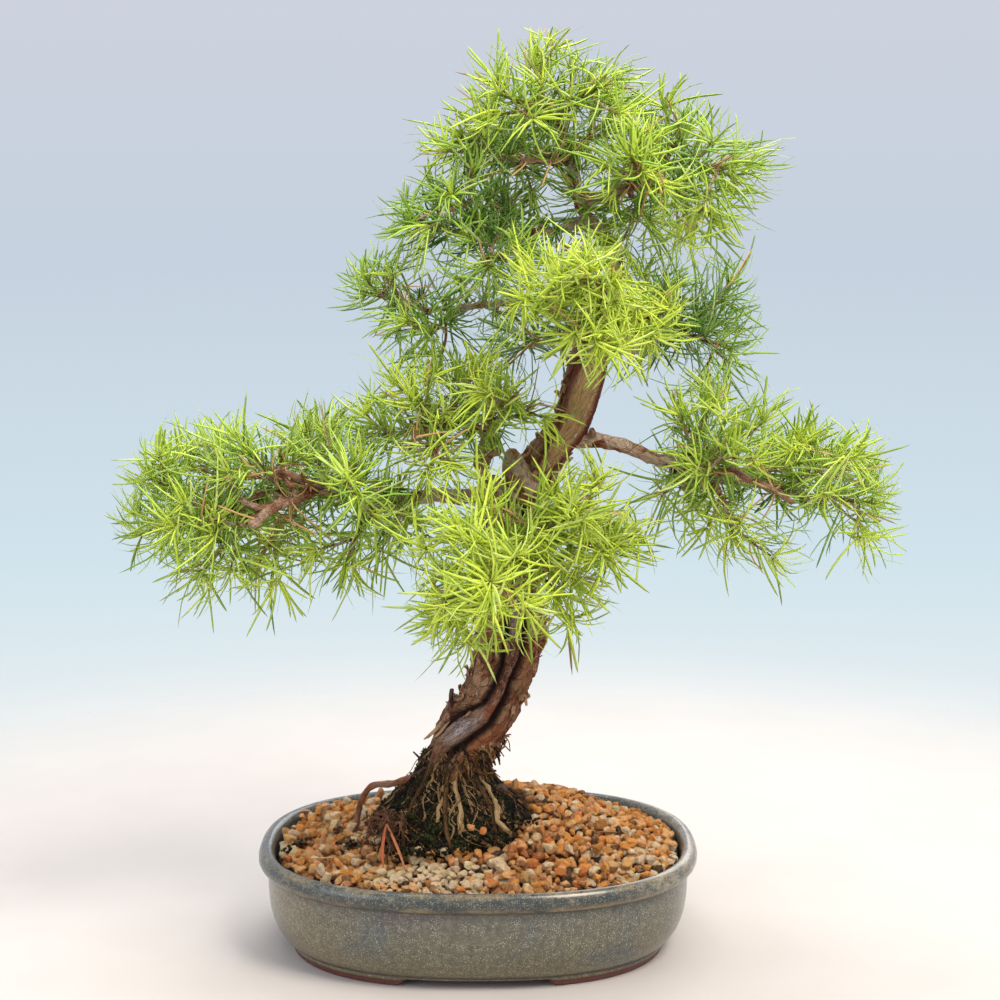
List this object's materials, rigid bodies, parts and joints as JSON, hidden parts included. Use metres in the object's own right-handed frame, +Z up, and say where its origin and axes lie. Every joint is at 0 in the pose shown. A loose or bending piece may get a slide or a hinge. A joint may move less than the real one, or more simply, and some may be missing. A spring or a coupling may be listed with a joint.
{
  "type": "potted european larch bonsai",
  "caption": "A small larch tree with a curved stem and tiers of soft green needles, grown on exposed roots in a shallow oval glazed pot filled with soil granules.",
  "frame": {"origin": "Under the middle of the whole plant and pot, on the surface that the pot's feet stand on.", "axes": "+Z up, +X along the oval pot to the viewer's right, +Y away from the viewer, so the pictured front faces -Y."},
  "size_m": [0.3508, 0.1916, 0.4127],
  "materials": {
    "glaze": "gloss",
    "mesh": "matte",
    "granules": "matte",
    "peat": "matte",
    "bark": "matte",
    "foliage": "satin"
  },
  "bodies": {
    "root": {"pot": "glaze", "root_mound": "peat", "screen_left": "mesh", "screen_right": "mesh", "soil": "granules", "spray_apex_left_40": "foliage", "spray_apex_left_41": "foliage", "spray_back_left_54": "foliage", "spray_back_right_47": "foliage", "spray_back_right_48": "foliage", "spray_back_right_49": "foliage", "spray_front_17": "foliage", "spray_front_18": "foliage", "spray_front_19": "foliage", "spray_front_20": "foliage", "spray_front_21": "foliage", "spray_front_22": "foliage", "spray_leader_36": "foliage", "spray_leader_37": "foliage", "spray_leader_38": "foliage", "spray_leader_39": "foliage", "spray_left_01": "foliage", "spray_left_02": "foliage", "spray_left_03": "foliage", "spray_left_04": "foliage", "spray_left_05": "foliage", "spray_left_06": "foliage", "spray_left_07": "foliage", "spray_left_08": "foliage", "spray_left_09": "foliage", "spray_left_10": "foliage", "spray_left_11": "foliage", "spray_mid_left_30": "foliage", "spray_mid_left_31": "foliage", "spray_middle_50": "foliage", "spray_middle_51": "foliage", "spray_middle_52": "foliage", "spray_middle_53": "foliage", "spray_right_23": "foliage", "spray_right_24": "foliage", "spray_right_25": "foliage", "spray_right_26": "foliage", "spray_right_27": "foliage", "spray_right_28": "foliage", "spray_right_29": "foliage", "spray_upper_32": "foliage", "spray_upper_33": "foliage", "spray_upper_34": "foliage", "spray_upper_35": "foliage", "spray_upper_left_12": "foliage", "spray_upper_left_13": "foliage", "spray_upper_left_14": "foliage", "spray_upper_left_15": "foliage", "spray_upper_left_16": "foliage", "spray_upper_right_42": "foliage", "spray_upper_right_43": "foliage", "spray_upper_right_44": "foliage", "spray_upper_right_45": "foliage", "spray_upper_right_46": "foliage", "wood": "bark"}
  },
  "joints": []
}
